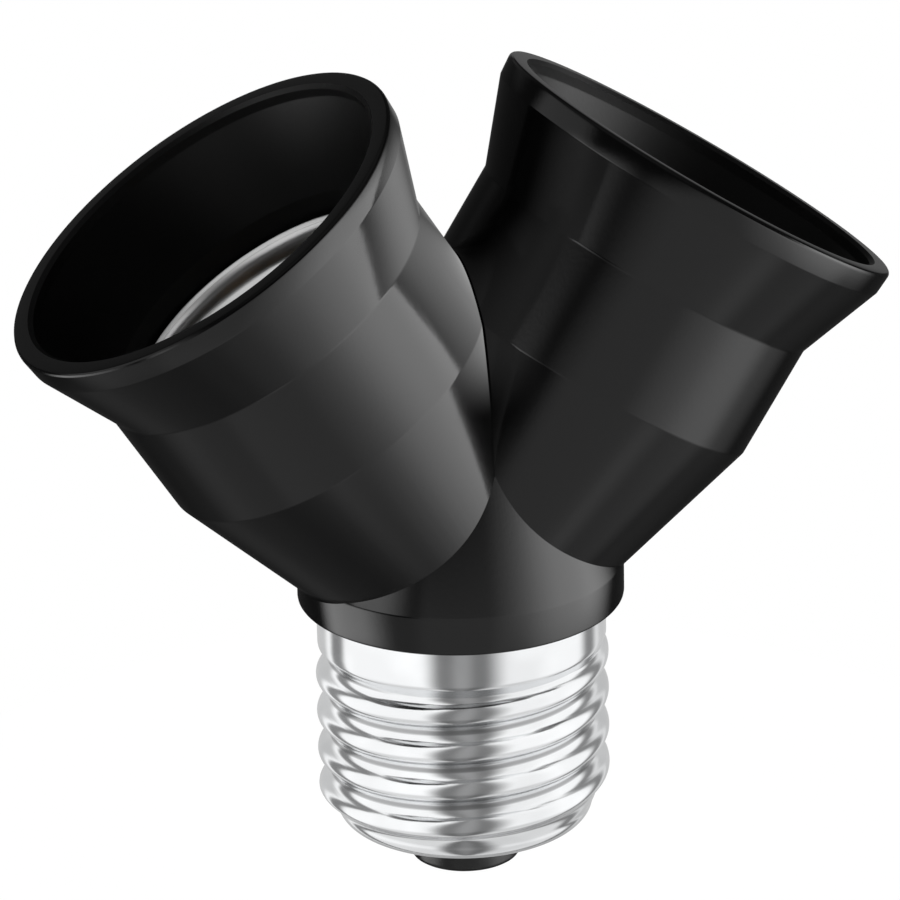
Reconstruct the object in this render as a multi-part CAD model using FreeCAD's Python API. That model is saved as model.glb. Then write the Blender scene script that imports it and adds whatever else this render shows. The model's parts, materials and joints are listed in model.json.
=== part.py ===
"""A lamp socket adapter: one Edison screw base below, two Edison sockets in a V above.

Millimetres, +Z up. The origin is the middle of the collar's underside, where the black
moulding meets the metal cap. Each socket is drawn upright about Z in its own frame, where z
counts along the socket from the point where both socket axes cross, and is then tilted into
place. The right one leans to +X, and the left one is the same set turned half round the stem.

The sizes follow the thread outwards: the screws set the bores, the bores and the walls set the
moulding, and the wall between the two bores sets how far up the V each socket stands.
"""
import math
import os

import FreeCAD
import Part
from FreeCAD import Vector

# Where the sockets stand
TILT = 32.5  # degrees between the stem and each socket
CROSSING_Z = 1.94  # where both socket axes meet the stem
SEPTUM = 1.33  # wall between the two bores where they come closest

# Fits
SEAT_GAP = 0.15  # round a piece that drops into its seat
HOLE_GAP = 0.06  # round a shank
AIR = 0.12  # between a piece and the sheet that it lies in
OVERCUT = 1.0  # how far a cutter passes a face

# Softened edges
EDGE_R = 0.35  # moulded edges
SHOULDER_R = 0.7  # where a moulded outline turns
HEAD_ROUND = 0.5  # share of a head's height that is rounded
DOME_ROUND = 0.8  # the same on the contact button

# Edison thread and the sheet that it is rolled in
PITCH = 3.629
THREAD_DEPTH = 1.1
CREST_R = 13.15
SHEET = 0.3
SHELL_LOOSENESS = 0.2  # radial, between a lamp's thread and the socket's
TURN_POLES = 30
PITCH_POLES = 12
BAND_POLES = 6
CORNER_POLES = 5
STRAIGHT = 1e-6  # a turn or a length below this is none

# Screw cap, where a drop counts down from the collar's underside
BAND_STEP = 0.2  # plain band inside the thread's crests
CAP_BAND_H = 3.6
CAP_FADE = 1.8
SKIRT_STEP = 0.45  # plain skirt inside the thread's roots
CAP_CORNER_R = 1.6
CAP_CORNER_LEAD = 0.1
NOSE_TAPER = 22.0  # degrees
NOSE_HOLE_R = 4.6
NOSE_DROP = 23.7
CREST_DROP = 10.19  # a crest's height on the side CREST_SIDE
CREST_SIDE = -106.7  # degrees about the stem

# Insulator and centre contact of the cap
TIP_PROUD = 1.5
INSULATOR_H = 7.1
INSULATOR_CHAMFER = 1.0
INSULATOR_CHAMFER_H = 0.6
PIN_R = 1.3
PIN_HEAD_R = 3.4
PIN_HEAD_H = 0.4
PIN_CLINCH_R = 2.3
PIN_CLINCH_H = 0.4
PIN_TAIL = 1.3
PIN_TIP_R = 0.3

# Collar and neck
COLLAR_STEP = 1.65  # collar outside the cap's band
COLLAR_H = 3.5
CAP_SEAT = 0.4  # depth of the groove that the cap's edge stands in
NECK_TAPER = 17.3  # degrees
NECK_TOP = 18.0
SPIGOT_H = 3.4
SPIGOT_WALL = 1.23
NECK_BORE_DRAFT = 6.5  # degrees
NECK_BORE_TOP = 12.0

# Cup, along the socket
CUP_START = 5.0
CUP_TAPER = 16.26  # degrees
CUP_WALL = 1.87
BODY_LEAD = 0.7  # plain body below the shell's seat
THROAT_STEP = 0.6  # throat outside the shell's bore
THROAT_H = 3.15
FLARE_LEAD = 0.45  # outer flare below the top of the throat
FLARE_H = 7.75
MOUTH_FLARE = 2.95
MOUTH_BAND = 1.2
RIM_WALL = 2.0
RIM_BAND = 2.1
RIM_STEP = 0.15
LIP_STAND = 0.95  # shell's lip over the ledge
LOWER_BORE_DROP = 6.6  # below the contact base

# Threaded shell of a socket
SHELL_H = 8.1
LIP_STEP = 0.05  # plain lip inside the thread's roots
FOOT_STEP = 0.25  # plain foot inside the thread's roots
LIP_ROLL_R = 0.9  # inner face of the lip, rolled outwards
LIP_ROLL = 70.0  # degrees
LIP_POLES = 6
LIP_FULLNESS = 1.5  # lip's thickness over the sheet's
SHELL_FADE = 1.2
SHELL_CORNER_R = 0.6

# Contact base of a socket
BASE_H = 6.3
BASE_RIM_H = 1.0
BASE_LAND = 0.6  # rim outside the screws
BASE_WALL = 1.2
BASE_FLOOR = 1.5

# Fixing screws of a socket
SCREW_R = 0.62
SCREW_LENGTH = 5.8
SCREW_HEAD_R = 1.1
SCREW_HEAD_H = 0.5
SCREW_SLOT = 0.3
SCREW_TIP_R = 0.2
SCREW_WALL = 0.82  # between a screw's hole and the bore beside it

# Spring contact, its rivet and the tag under the base
STRIP = 0.4
LEAF_WIDTH = 4.5
LEAF_RISE = 20.8  # degrees
LEAF_TIP = -1.6
LEAF_CURL = 1.0
LEAF_CURL_DROP = 0.3
BEND_R = 0.8
RIVET_INSET = 1.4
RIVET_R = 0.7
RIVET_HEAD_R = 1.3
RIVET_HEAD_H = 0.4
BEND_LEAD = 0.3  # between the rivet's head and the bend
BUTTON_R = 1.7
BUTTON_H = 0.7
BUTTON_SHANK_R = 0.6
BUTTON_TAIL_R = 1.0
BUTTON_TAIL_H = 0.3
TAG_WIDTH = 3.2
TAG_BEND = 2.4  # inside the leaf's bend
TAG_LEAN = 1.0
TAG_DROP = 1.8

# Strap from the shell down to the neck
STRAP_WIDTH = 3.6
STRAP_INSET = 0.7  # inside the base's wall
STRAP_END = 0.92  # beyond the screw
STRAP_DROP = 2.7  # below the contact base

# Leads, with each turn given in from the neck's bore, in degrees about the stem, and in height
LEAD_R = 0.8
LEAD_BEND_R = 3.0
LIVE_ELBOW = (6.1, 0, 5.0)
LIVE_LOW = (9.1, 0, -6.0)
NEUTRAL_ELBOW = (3.92, 49.4, 5.0)
NEUTRAL_LOW = (3.24, 46, -4.5)
NEUTRAL_DROP = 9.0

# The thread, as two arcs that meet in a slope
THREAD_TURN = 2 * math.atan(2 * THREAD_DEPTH / PITCH)
THREAD_ARC = PITCH / 4 / math.sin(THREAD_TURN)
CAP_MID_R = CREST_R - THREAD_DEPTH / 2
CAP_ROOT_R = CREST_R - THREAD_DEPTH
SOCKET_MID_R = CAP_MID_R + SHELL_LOOSENESS
SOCKET_ROOT_R = SOCKET_MID_R + THREAD_DEPTH / 2

# The cap and the neck that it stands on
CAP_BAND_R = CREST_R - BAND_STEP
CAP_SKIRT_R = CAP_ROOT_R - SKIRT_STEP
INSULATOR_R = CAP_SKIRT_R - SHEET - 2 * SEAT_GAP
INSULATOR_TOP = INSULATOR_H - NOSE_DROP
PIN_TOP = INSULATOR_TOP + PIN_TAIL
TIP_Z = -NOSE_DROP - TIP_PROUD
COLLAR_R = CAP_BAND_R + COLLAR_STEP
SPIGOT_R = CAP_BAND_R - SHEET - AIR
NECK_BORE_R = SPIGOT_R - SPIGOT_WALL

# Radii of a socket, from the shell outwards and inwards
LIP_R = SOCKET_ROOT_R - LIP_STEP
LIP_SHEET = SHEET * LIP_FULLNESS
FOOT_R = SOCKET_ROOT_R - FOOT_STEP
SHELL_BORE_R = SOCKET_ROOT_R + SHEET + SEAT_GAP
THROAT_R = SHELL_BORE_R + THROAT_STEP
CUP_BODY_R = THROAT_R + CUP_WALL
MOUTH_R = THROAT_R + MOUTH_FLARE
RIM_R = MOUTH_R + RIM_WALL
FLARE_R = RIM_R - RIM_STEP
SCREW_PLACE = FOOT_R - SHELL_CORNER_R - SCREW_HEAD_R - AIR
FLANGE_BORE_R = SCREW_PLACE - SCREW_HEAD_R
BASE_RIM_R = SCREW_PLACE + SCREW_R + BASE_LAND
LOWER_BORE_R = SCREW_PLACE - SCREW_R - HOLE_GAP - SCREW_WALL
BASE_R = LOWER_BORE_R - SEAT_GAP
BASE_WELL_R = BASE_R - BASE_WALL
STRAP_PLACE = BASE_WELL_R - STRAP_INSET
STRAP_OUTER = SCREW_PLACE + STRAP_END
LEAF_FOOT_END = math.sqrt((BASE_WELL_R - AIR) ** 2 - (LEAF_WIDTH / 2) ** 2)
RIVET_PLACE = LEAF_FOOT_END - RIVET_INSET
LEAF_BEND = RIVET_PLACE - RIVET_HEAD_R - BEND_LEAD
TAG_REACH = LEAF_BEND - TAG_BEND

# Heights along a socket, from the seat that the septum allows
LEAN = math.radians(TILT)
SHELL_SEAT_Z = (SHELL_BORE_R * math.cos(LEAN) + SEPTUM / 2) / math.sin(LEAN)
FLANGE_TOP = SHELL_SEAT_Z + SHEET
LIP_Z = SHELL_SEAT_Z + SHELL_H
LIP_ROLL_Z = LIP_Z - LIP_ROLL_R * math.sin(math.radians(LIP_ROLL))
LEDGE_Z = LIP_Z - LIP_STAND
THROAT_Z = LEDGE_Z + THROAT_H
CUP_BODY_START = SHELL_SEAT_Z - BODY_LEAD
FLARE_START = THROAT_Z - FLARE_LEAD
FLARE_END = FLARE_START + FLARE_H
RIM_Z = FLARE_END + RIM_BAND
BASE_SEAT_Z = SHELL_SEAT_Z - BASE_RIM_H
BASE_END = SHELL_SEAT_Z - BASE_H
FLOOR_TOP = BASE_END + BASE_FLOOR
LOWER_BORE_END = BASE_END - LOWER_BORE_DROP
LEAF_MID = FLOOR_TOP + STRIP / 2
TAG_MID = BASE_END - STRIP / 2
BUTTON_RISE = LEAF_BEND * math.tan(math.radians(LEAF_RISE))


def scaled(v, k):
    return (v[0] * k, v[1] * k)


def unit(v):
    return scaled(v, 1 / math.hypot(*v))


def moved(p, v, k=1.0):
    return (p[0] + v[0] * k, p[1] + v[1] * k)


def away(p, q):
    return (q[0] - p[0], q[1] - p[1])


def at(p):
    return Vector(p[0], 0, p[1])


def outline(corners):
    """A closed outline in the XZ plane through (x, z, radius) corners, each rounded by its radius."""
    count = len(corners)
    ends = []
    for i, (x, z, radius) in enumerate(corners):
        here = (x, z)
        back = unit(away(here, corners[i - 1][:2]))
        ahead = unit(away(here, corners[(i + 1) % count][:2]))
        half = math.acos(max(-1.0, min(1.0, back[0] * ahead[0] + back[1] * ahead[1]))) / 2
        if not radius or math.cos(half) < STRAIGHT:
            ends.append((here, None, here))
            continue
        run = radius / math.tan(half)
        inward = unit(moved(back, ahead))
        middle = moved(here, inward, radius / math.sin(half) - radius)
        ends.append((moved(here, back, run), middle, moved(here, ahead, run)))
    edges = []
    for i, (first, middle, last) in enumerate(ends):
        if middle:
            edges.append(Part.Arc(at(first), at(middle), at(last)).toShape())
        after = ends[(i + 1) % count][0]
        if math.dist(last, after) > STRAIGHT:
            edges.append(Part.LineSegment(at(last), at(after)).toShape())
    return Part.Wire(edges)


def turned(corners):
    """The outline spun about Z."""
    face = Part.Face(outline(corners))
    return face.revolve(Vector(0, 0, 0), Vector(0, 0, 1), 360)


def bent_strip(path, width, bend_r):
    """Strip metal bent along a path in the XZ plane, with its width across Y."""
    sides = ([], [])
    last = len(path) - 1
    for i, p in enumerate(path):
        before = unit(away(path[i - 1], p)) if i > 0 else None
        after = unit(away(p, path[i + 1])) if i < last else None
        before = before or after
        after = after or before
        left = (-before[1] - after[1], before[0] + after[0])
        left = scaled(left, 1 / (1 + before[0] * after[0] + before[1] * after[1]))
        turn = before[0] * after[1] - before[1] * after[0]
        for side, sign in zip(sides, (1, -1)):
            reach = sign * STRIP / 2
            radius = bend_r - math.copysign(reach, turn * reach) if abs(turn) > STRAIGHT else 0
            side.append((*moved(p, left, reach), radius))
    face = Part.Face(outline(sides[0] + sides[1][::-1]))
    strip = face.extrude(Vector(0, width, 0))
    strip.translate(Vector(0, -width / 2, 0))
    return strip


def rod(radius, low, high, x=0.0, y=0.0):
    return Part.makeCylinder(radius, high - low, Vector(x, y, low))


def place(shape, side):
    """Tilt a piece of the upright socket into its place on the stem."""
    copy = shape.copy()
    copy.rotate(Vector(0, 0, 0), Vector(0, 1, 0), TILT)
    copy.translate(Vector(0, 0, CROSSING_Z))
    if side == "left":
        copy.rotate(Vector(0, 0, 0), Vector(0, 0, 1), 180)
    return copy


def placed_point(x, y, z):
    """Where a point of the upright right-hand socket lies on the part."""
    return Vector(
        z * math.sin(LEAN) + x * math.cos(LEAN),
        y,
        CROSSING_Z + z * math.cos(LEAN) - x * math.sin(LEAN),
    )


def smooth(t):
    t = max(0.0, min(1.0, t))
    return t * t * (3 - 2 * t)


def thread_height(along):
    """Height of the Edison thread over its middle line, as two arcs that meet in a slope."""
    along = abs((along + PITCH / 2) % PITCH - PITCH / 2)
    slope_end = THREAD_ARC * math.cos(THREAD_TURN)
    if along < PITCH / 4:
        return math.sqrt(THREAD_ARC**2 - along**2) - slope_end
    return slope_end - math.sqrt(THREAD_ARC**2 - (PITCH / 2 - along) ** 2)


def rolled_sheet(stations, mid_r, crest_z, crest_side, inward):
    """A sheet metal shell with a right-hand thread rolled into it.

    Each station is (radius, z, thread, thickness), from the top down: thread runs from 0 on the
    plain sheet to 1 on the full thread. The skin through the stations is the gauged one, and the
    other lies the sheet's thickness behind it, inward or outward, measured square to the sheet.
    """
    gauged = []
    backed = []
    correction = 3 / (2 + math.cos(2 * math.pi / TURN_POLES))
    for i in range(TURN_POLES):
        angle = 2 * math.pi * i / TURN_POLES
        rise = PITCH * (angle - math.radians(crest_side)) / (2 * math.pi)
        line = []
        for radius, z, thread, _ in stations:
            threaded = mid_r + thread_height(z - crest_z - rise)
            line.append((radius + thread * (threaded - radius), z))
        backs = []
        for j, p in enumerate(line):
            along = unit(away(line[max(j - 1, 0)], line[min(j + 1, len(line) - 1)]))
            thickness = -stations[j][3] if inward else stations[j][3]
            backs.append(moved(p, (-along[1], along[0]), thickness))
        for skin, points in ((gauged, line), (backed, backs)):
            row = []
            for r, z in points:
                row.append(Vector(r * math.cos(angle), r * math.sin(angle), z / correction))
            skin.append([v * correction for v in row])
    skins = [skin_surface(gauged), skin_surface(backed)]
    faces = [skin.toShape() for skin in skins]
    for end in (0.0, 1.0):
        edges = [skin.vIso(end).toShape() for skin in skins]
        faces.append(Part.makeRuledSurface(edges[0], edges[1]))
    shell = Part.Shell(faces)
    shell.sewShape()
    solid = Part.Solid(shell)
    if solid.Volume < 0:
        solid.reverse()
    return solid


def skin_surface(poles):
    """A cubic surface, closed round the axis and open along it."""
    turns = len(poles)
    spans = len(poles[0]) - 3
    surface = Part.BSplineSurface()
    surface.buildFromPolesMultsKnots(
        poles,
        [1] * (turns + 1),
        [4] + [1] * (spans - 1) + [4],
        [i / turns for i in range(turns + 1)],
        [i / spans for i in range(spans + 1)],
        True,
        False,
        3,
        3,
    )
    return surface


def threaded_run(top, bottom, top_r, bottom_r, fade):
    """Stations of a threaded stretch, where the thread rises from the plain sheet at both ends."""
    count = round((top - bottom) / (PITCH / PITCH_POLES))
    stations = []
    for i in range(count + 1):
        z = top - (top - bottom) * i / count
        thread = smooth((top - z) / fade) * smooth((z - bottom) / fade)
        plain_r = top_r if z > (top + bottom) / 2 else bottom_r
        stations.append((plain_r, z, thread, SHEET))
    return stations


def lip_run():
    """Stations of the lip, from its rolled edge down to the straight sheet."""
    stations = []
    for i in range(LIP_POLES):
        a = math.radians(LIP_ROLL) * (1 - i / LIP_POLES)
        r = LIP_R + LIP_ROLL_R * (1 - math.cos(a))
        stations.append((r, LIP_ROLL_Z + LIP_ROLL_R * math.sin(a), 0, LIP_SHEET))
    return stations


def corner_run(radius, z, corner_r, turn):
    """Stations where a sheet that runs straight down turns in by an angle, from its tangent on."""
    stations = []
    for i in range(1, CORNER_POLES + 1):
        a = math.radians(turn) * i / CORNER_POLES
        stations.append((radius - corner_r * (1 - math.cos(a)), z - corner_r * math.sin(a), 0, SHEET))
    return stations


def straight_run(start, end):
    """Stations of a plain stretch after the (radius, z) start, up to the end."""
    stations = []
    for i in range(1, CORNER_POLES + 1):
        r, z = moved(start, away(start, end), i / CORNER_POLES)
        stations.append((r, z, 0, SHEET))
    return stations


def cup_cone_r(z):
    return CUP_BODY_R - (CUP_BODY_START - z) * math.tan(math.radians(CUP_TAPER))


def cup_solid():
    return turned([
        (0, CUP_START, 0),
        (cup_cone_r(CUP_START), CUP_START, 0),
        (CUP_BODY_R, CUP_BODY_START, SHOULDER_R),
        (CUP_BODY_R, FLARE_START, SHOULDER_R),
        (FLARE_R, FLARE_END, EDGE_R),
        (RIM_R, RIM_Z, EDGE_R),
        (0, RIM_Z, 0),
    ])


def cup_hollow():
    clear_r = RIM_R + OVERCUT
    clear_z = RIM_Z + OVERCUT
    return turned([
        (0, LOWER_BORE_END, 0),
        (LOWER_BORE_R, LOWER_BORE_END, 0),
        (LOWER_BORE_R, BASE_SEAT_Z, 0),
        (BASE_RIM_R + SEAT_GAP, BASE_SEAT_Z, 0),
        (BASE_RIM_R + SEAT_GAP, SHELL_SEAT_Z, 0),
        (SHELL_BORE_R, SHELL_SEAT_Z, 0),
        (SHELL_BORE_R, LEDGE_Z, 0),
        (THROAT_R, LEDGE_Z, 0),
        (THROAT_R, THROAT_Z, 0),
        (MOUTH_R, RIM_Z - MOUTH_BAND, 0),
        (MOUTH_R, RIM_Z, EDGE_R),
        (clear_r, RIM_Z, 0),
        (clear_r, clear_z, 0),
        (0, clear_z, 0),
    ])


def screw_holes(radius, low, high):
    return [rod(radius, low, high, 0, side * SCREW_PLACE) for side in (1, -1)]


def stem_solid():
    """Spigot, collar and neck, with the groove that the cap's edge stands in."""
    neck_top_r = COLLAR_R - (NECK_TOP - COLLAR_H) * math.tan(math.radians(NECK_TAPER))
    return turned([
        (0, -SPIGOT_H, 0),
        (SPIGOT_R, -SPIGOT_H, 0),
        (SPIGOT_R, CAP_SEAT, 0),
        (CAP_BAND_R + AIR, CAP_SEAT, 0),
        (CAP_BAND_R + AIR, 0, 0),
        (COLLAR_R, 0, EDGE_R),
        (COLLAR_R, COLLAR_H, SHOULDER_R),
        (neck_top_r, NECK_TOP, 0),
        (0, NECK_TOP, 0),
    ])


def neck_bore():
    slope = math.tan(math.radians(NECK_BORE_DRAFT))
    low = -SPIGOT_H - OVERCUT
    return turned([
        (0, low, 0),
        (NECK_BORE_R - low * slope, low, 0),
        (NECK_BORE_R - NECK_BORE_TOP * slope, NECK_BORE_TOP, 0),
        (0, NECK_BORE_TOP, 0),
    ])


def housing():
    """The black moulding: collar, neck and two cups, hollow from the cap to both rims."""
    cup = cup_solid()
    screw_end = FLANGE_TOP - SCREW_LENGTH
    holes = screw_holes(SCREW_R + HOLE_GAP, screw_end - SCREW_SLOT, SHELL_SEAT_Z)
    hollows = [cup_hollow()] + holes
    solid = stem_solid().fuse([place(cup, "right"), place(cup, "left")])
    cuts = [neck_bore()] + [place(hollow, side) for hollow in hollows for side in ("right", "left")]
    return solid.cut(cuts).removeSplitter()


def nose_height(r):
    """Height of the cap's lower cone, outside, at a radius."""
    return -NOSE_DROP + (r - NOSE_HOLE_R) * math.tan(math.radians(NOSE_TAPER))


def cap_shell():
    """Nickel-plated screw cap, rolled from sheet, with its lower cone turned in to the tip."""
    turn = 90 - NOSE_TAPER
    cone_r = CAP_SKIRT_R - CAP_CORNER_R * (1 - math.cos(math.radians(turn)))
    corner_top = nose_height(cone_r) + CAP_CORNER_R * math.sin(math.radians(turn))
    stations = []
    for i in range(BAND_POLES):
        z = CAP_SEAT - (CAP_SEAT + CAP_BAND_H) * i / BAND_POLES
        stations.append((CAP_BAND_R, z, 0, SHEET))
    thread_end = corner_top - CAP_CORNER_LEAD
    stations += threaded_run(-CAP_BAND_H, thread_end, CAP_BAND_R, CAP_SKIRT_R, CAP_FADE)
    stations += corner_run(CAP_SKIRT_R, corner_top, CAP_CORNER_R, turn)
    stations += straight_run((cone_r, nose_height(cone_r)), (NOSE_HOLE_R, nose_height(NOSE_HOLE_R)))
    return rolled_sheet(stations, CAP_MID_R, -CREST_DROP, CREST_SIDE, True)


def cap_insulator():
    """Black insulator that fills the cap's lower end and carries the centre contact."""
    tip_r = NOSE_HOLE_R - AIR
    lift = SHEET / math.cos(math.radians(NOSE_TAPER)) + AIR
    chamfer_r = INSULATOR_R - INSULATOR_CHAMFER
    return turned([
        (PIN_R + HOLE_GAP, TIP_Z, 0),
        (tip_r, TIP_Z, EDGE_R),
        (tip_r, nose_height(tip_r) + lift, 0),
        (chamfer_r, nose_height(chamfer_r) + lift, EDGE_R),
        (INSULATOR_R, nose_height(INSULATOR_R) + lift + INSULATOR_CHAMFER_H, 0),
        (INSULATOR_R, INSULATOR_TOP, EDGE_R),
        (PIN_R + HOLE_GAP, INSULATOR_TOP, 0),
    ])


def cap_contact():
    """Centre contact: a rivet with its head under the tip, clinched over the insulator."""
    return turned([
        (0, TIP_Z - PIN_HEAD_H, 0),
        (PIN_HEAD_R, TIP_Z - PIN_HEAD_H, PIN_HEAD_H * HEAD_ROUND),
        (PIN_HEAD_R, TIP_Z, 0),
        (PIN_R, TIP_Z, 0),
        (PIN_R, INSULATOR_TOP, 0),
        (PIN_CLINCH_R, INSULATOR_TOP, 0),
        (PIN_CLINCH_R, INSULATOR_TOP + PIN_CLINCH_H, 0),
        (PIN_R, INSULATOR_TOP + PIN_CLINCH_H, 0),
        (PIN_R, PIN_TOP, PIN_TIP_R),
        (0, PIN_TOP, 0),
    ])


def socket_shell():
    """Threaded brass shell of a socket, its lip rolled outwards and its foot turned in."""
    thread_end = FLANGE_TOP + SHELL_CORNER_R
    stations = lip_run()
    stations += threaded_run(LIP_ROLL_Z, thread_end, LIP_R, FOOT_R, SHELL_FADE)
    stations += corner_run(FOOT_R, thread_end, SHELL_CORNER_R, 90)
    stations += straight_run((FOOT_R - SHELL_CORNER_R, FLANGE_TOP), (FLANGE_BORE_R, FLANGE_TOP))
    shell = rolled_sheet(stations, SOCKET_MID_R, (LIP_Z + SHELL_SEAT_Z) / 2, 0, False)
    return shell.cut(screw_holes(SCREW_R + 2 * HOLE_GAP, SHELL_SEAT_Z - OVERCUT, FLANGE_TOP + OVERCUT))


def socket_base():
    """Moulded cup that carries the contacts, hung by its rim under the shell's flange."""
    body = turned([
        (0, BASE_END, 0),
        (BASE_R, BASE_END, EDGE_R),
        (BASE_R, BASE_SEAT_Z, 0),
        (BASE_RIM_R, BASE_SEAT_Z, 0),
        (BASE_RIM_R, SHELL_SEAT_Z, 0),
        (BASE_WELL_R, SHELL_SEAT_Z, 0),
        (BASE_WELL_R, FLOOR_TOP, 0),
        (0, FLOOR_TOP, 0),
    ])
    slot_width = STRAP_WIDTH + 4 * HOLE_GAP
    slot_depth = STRIP + 4 * HOLE_GAP
    slot = Part.makeBox(
        slot_width,
        slot_depth,
        BASE_FLOOR + 2 * OVERCUT,
        Vector(-slot_width / 2, STRAP_PLACE - slot_depth / 2, BASE_END - OVERCUT),
    )
    rivet_hole = rod(RIVET_R + HOLE_GAP, BASE_END - OVERCUT, FLOOR_TOP + OVERCUT, RIVET_PLACE)
    holes = screw_holes(SCREW_R + 2 * HOLE_GAP, BASE_SEAT_Z - OVERCUT, SHELL_SEAT_Z + OVERCUT)
    return body.cut([slot, rivet_hole] + holes)


def fixing_screws():
    """Two screws that hold shell and base down in the cup. One also clamps the strap."""
    screws = []
    for side, seat in ((1, FLANGE_TOP + STRIP), (-1, FLANGE_TOP)):
        screw = turned([
            (0, FLANGE_TOP - SCREW_LENGTH, 0),
            (SCREW_R, FLANGE_TOP - SCREW_LENGTH, SCREW_TIP_R),
            (SCREW_R, seat, 0),
            (SCREW_HEAD_R, seat, 0),
            (SCREW_HEAD_R, seat + SCREW_HEAD_H, SCREW_HEAD_H * HEAD_ROUND),
            (0, seat + SCREW_HEAD_H, 0),
        ])
        slot = Part.makeBox(
            4 * SCREW_HEAD_R,
            SCREW_SLOT,
            SCREW_HEAD_H,
            Vector(-2 * SCREW_HEAD_R, -SCREW_SLOT / 2, seat + SCREW_HEAD_H / 2),
        )
        screw = screw.cut(slot)
        screw.translate(Vector(0, side * SCREW_PLACE, 0))
        screws.append(screw)
    return Part.makeCompound(screws)


def contact_leaf():
    """Bronze leaf that springs up under the lamp's tip from its riveted foot."""
    tip_z = LEAF_MID + (LEAF_BEND - LEAF_TIP) * math.tan(math.radians(LEAF_RISE))
    leaf = bent_strip(
        [
            (LEAF_FOOT_END, LEAF_MID),
            (LEAF_BEND, LEAF_MID),
            (LEAF_TIP, tip_z),
            (LEAF_TIP - LEAF_CURL, tip_z - LEAF_CURL_DROP),
        ],
        LEAF_WIDTH,
        BEND_R,
    )
    foot_hole = rod(RIVET_R + HOLE_GAP, LEAF_MID - STRIP, LEAF_MID + STRIP, RIVET_PLACE)
    button_hole = on_leaf(rod(BUTTON_SHANK_R + HOLE_GAP, -2 * STRIP, 2 * STRIP))
    return leaf.cut([foot_hole, button_hole])


def on_leaf(shape):
    """Stand a piece, drawn about Z at the leaf's middle line, square on the leaf under the lamp's tip."""
    copy = shape.copy()
    copy.rotate(Vector(0, 0, 0), Vector(0, 1, 0), LEAF_RISE)
    copy.translate(Vector(0, 0, LEAF_MID + BUTTON_RISE))
    return copy


def contact_button():
    """Domed contact riveted through the leaf."""
    top = STRIP / 2
    dome = turned([
        (0, -top - BUTTON_TAIL_H, 0),
        (BUTTON_TAIL_R, -top - BUTTON_TAIL_H, BUTTON_TAIL_H * HEAD_ROUND),
        (BUTTON_TAIL_R, -top, 0),
        (BUTTON_SHANK_R, -top, 0),
        (BUTTON_SHANK_R, top, 0),
        (BUTTON_R, top, 0),
        (BUTTON_R, top + BUTTON_H, BUTTON_H * DOME_ROUND),
        (0, top + BUTTON_H, 0),
    ])
    return on_leaf(dome)


def leaf_rivet():
    """Rivet through the leaf's foot, the base's floor and the tag below it."""
    low = BASE_END - STRIP
    high = FLOOR_TOP + STRIP
    rivet = turned([
        (0, low - RIVET_HEAD_H, 0),
        (RIVET_HEAD_R, low - RIVET_HEAD_H, RIVET_HEAD_H * HEAD_ROUND),
        (RIVET_HEAD_R, low, 0),
        (RIVET_R, low, 0),
        (RIVET_R, high, 0),
        (RIVET_HEAD_R, high, 0),
        (RIVET_HEAD_R, high + RIVET_HEAD_H, RIVET_HEAD_H * HEAD_ROUND),
        (0, high + RIVET_HEAD_H, 0),
    ])
    rivet.translate(Vector(RIVET_PLACE, 0, 0))
    return rivet


def live_tag():
    """Solder tag under the base, on the leaf's rivet."""
    tip = (TAG_REACH - TAG_LEAN, TAG_MID - TAG_DROP)
    tag = bent_strip([(LEAF_FOOT_END, TAG_MID), (TAG_REACH, TAG_MID), tip], TAG_WIDTH, BEND_R)
    return tag.cut(rod(RIVET_R + HOLE_GAP, TAG_MID - STRIP, TAG_MID + STRIP, RIVET_PLACE))


def shell_strap():
    """Strap from the shell's flange down through the base's floor, with the neutral lead on its end."""
    high = FLANGE_TOP + STRIP / 2
    path = [(STRAP_OUTER, high), (STRAP_PLACE, high), (STRAP_PLACE, BASE_END - STRAP_DROP)]
    strap = bent_strip(path, STRAP_WIDTH, STRIP)
    strap.rotate(Vector(0, 0, 0), Vector(0, 0, 1), 90)
    return strap.cut(rod(SCREW_R + 2 * HOLE_GAP, high - STRIP, high + STRIP, 0, SCREW_PLACE))


def lead(points):
    """A wire through the points, with an arc at each turn."""
    edges = []
    start = points[0]
    for before, here, after in zip(points, points[1:], points[2:]):
        back = (before - here).normalize()
        ahead = (after - here).normalize()
        half = back.getAngle(ahead) / 2
        run = LEAD_BEND_R / math.tan(half)
        inward = (back + ahead).normalize()
        first = here + back * run
        last = here + ahead * run
        middle = here + inward * (LEAD_BEND_R / math.sin(half) - LEAD_BEND_R)
        edges.append(Part.LineSegment(start, first).toShape())
        edges.append(Part.Arc(first, middle, last).toShape())
        start = last
    edges.append(Part.LineSegment(start, points[-1]).toShape())
    section = Part.Wire(Part.Circle(points[0], points[1] - points[0], LEAD_R).toShape())
    return Part.Wire(edges).makePipeShell([section], True, True)


def in_neck(inset, degrees, z):
    reach = NECK_BORE_R - inset
    angle = math.radians(degrees)
    return Vector(reach * math.cos(angle), reach * math.sin(angle), z)


def live_lead():
    """Wire from the tag to the cap's centre contact."""
    return lead([
        placed_point(TAG_REACH - TAG_LEAN - STRIP - LEAD_R - AIR, 0, TAG_MID - TAG_DROP),
        in_neck(*LIVE_ELBOW),
        in_neck(*LIVE_LOW),
        Vector(LEAD_R + AIR, 0, PIN_TOP + AIR),
    ])


def neutral_lead():
    """Wire from the strap to the inside of the screw cap."""
    cap_side = (CAP_ROOT_R - SHEET - LEAD_R - AIR) * math.sqrt(0.5)
    return lead([
        placed_point(0, STRAP_PLACE - STRIP / 2 - LEAD_R - AIR, BASE_END - STRAP_DROP),
        in_neck(*NEUTRAL_ELBOW),
        in_neck(*NEUTRAL_LOW),
        Vector(cap_side, cap_side, -NEUTRAL_DROP),
    ])


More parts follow.
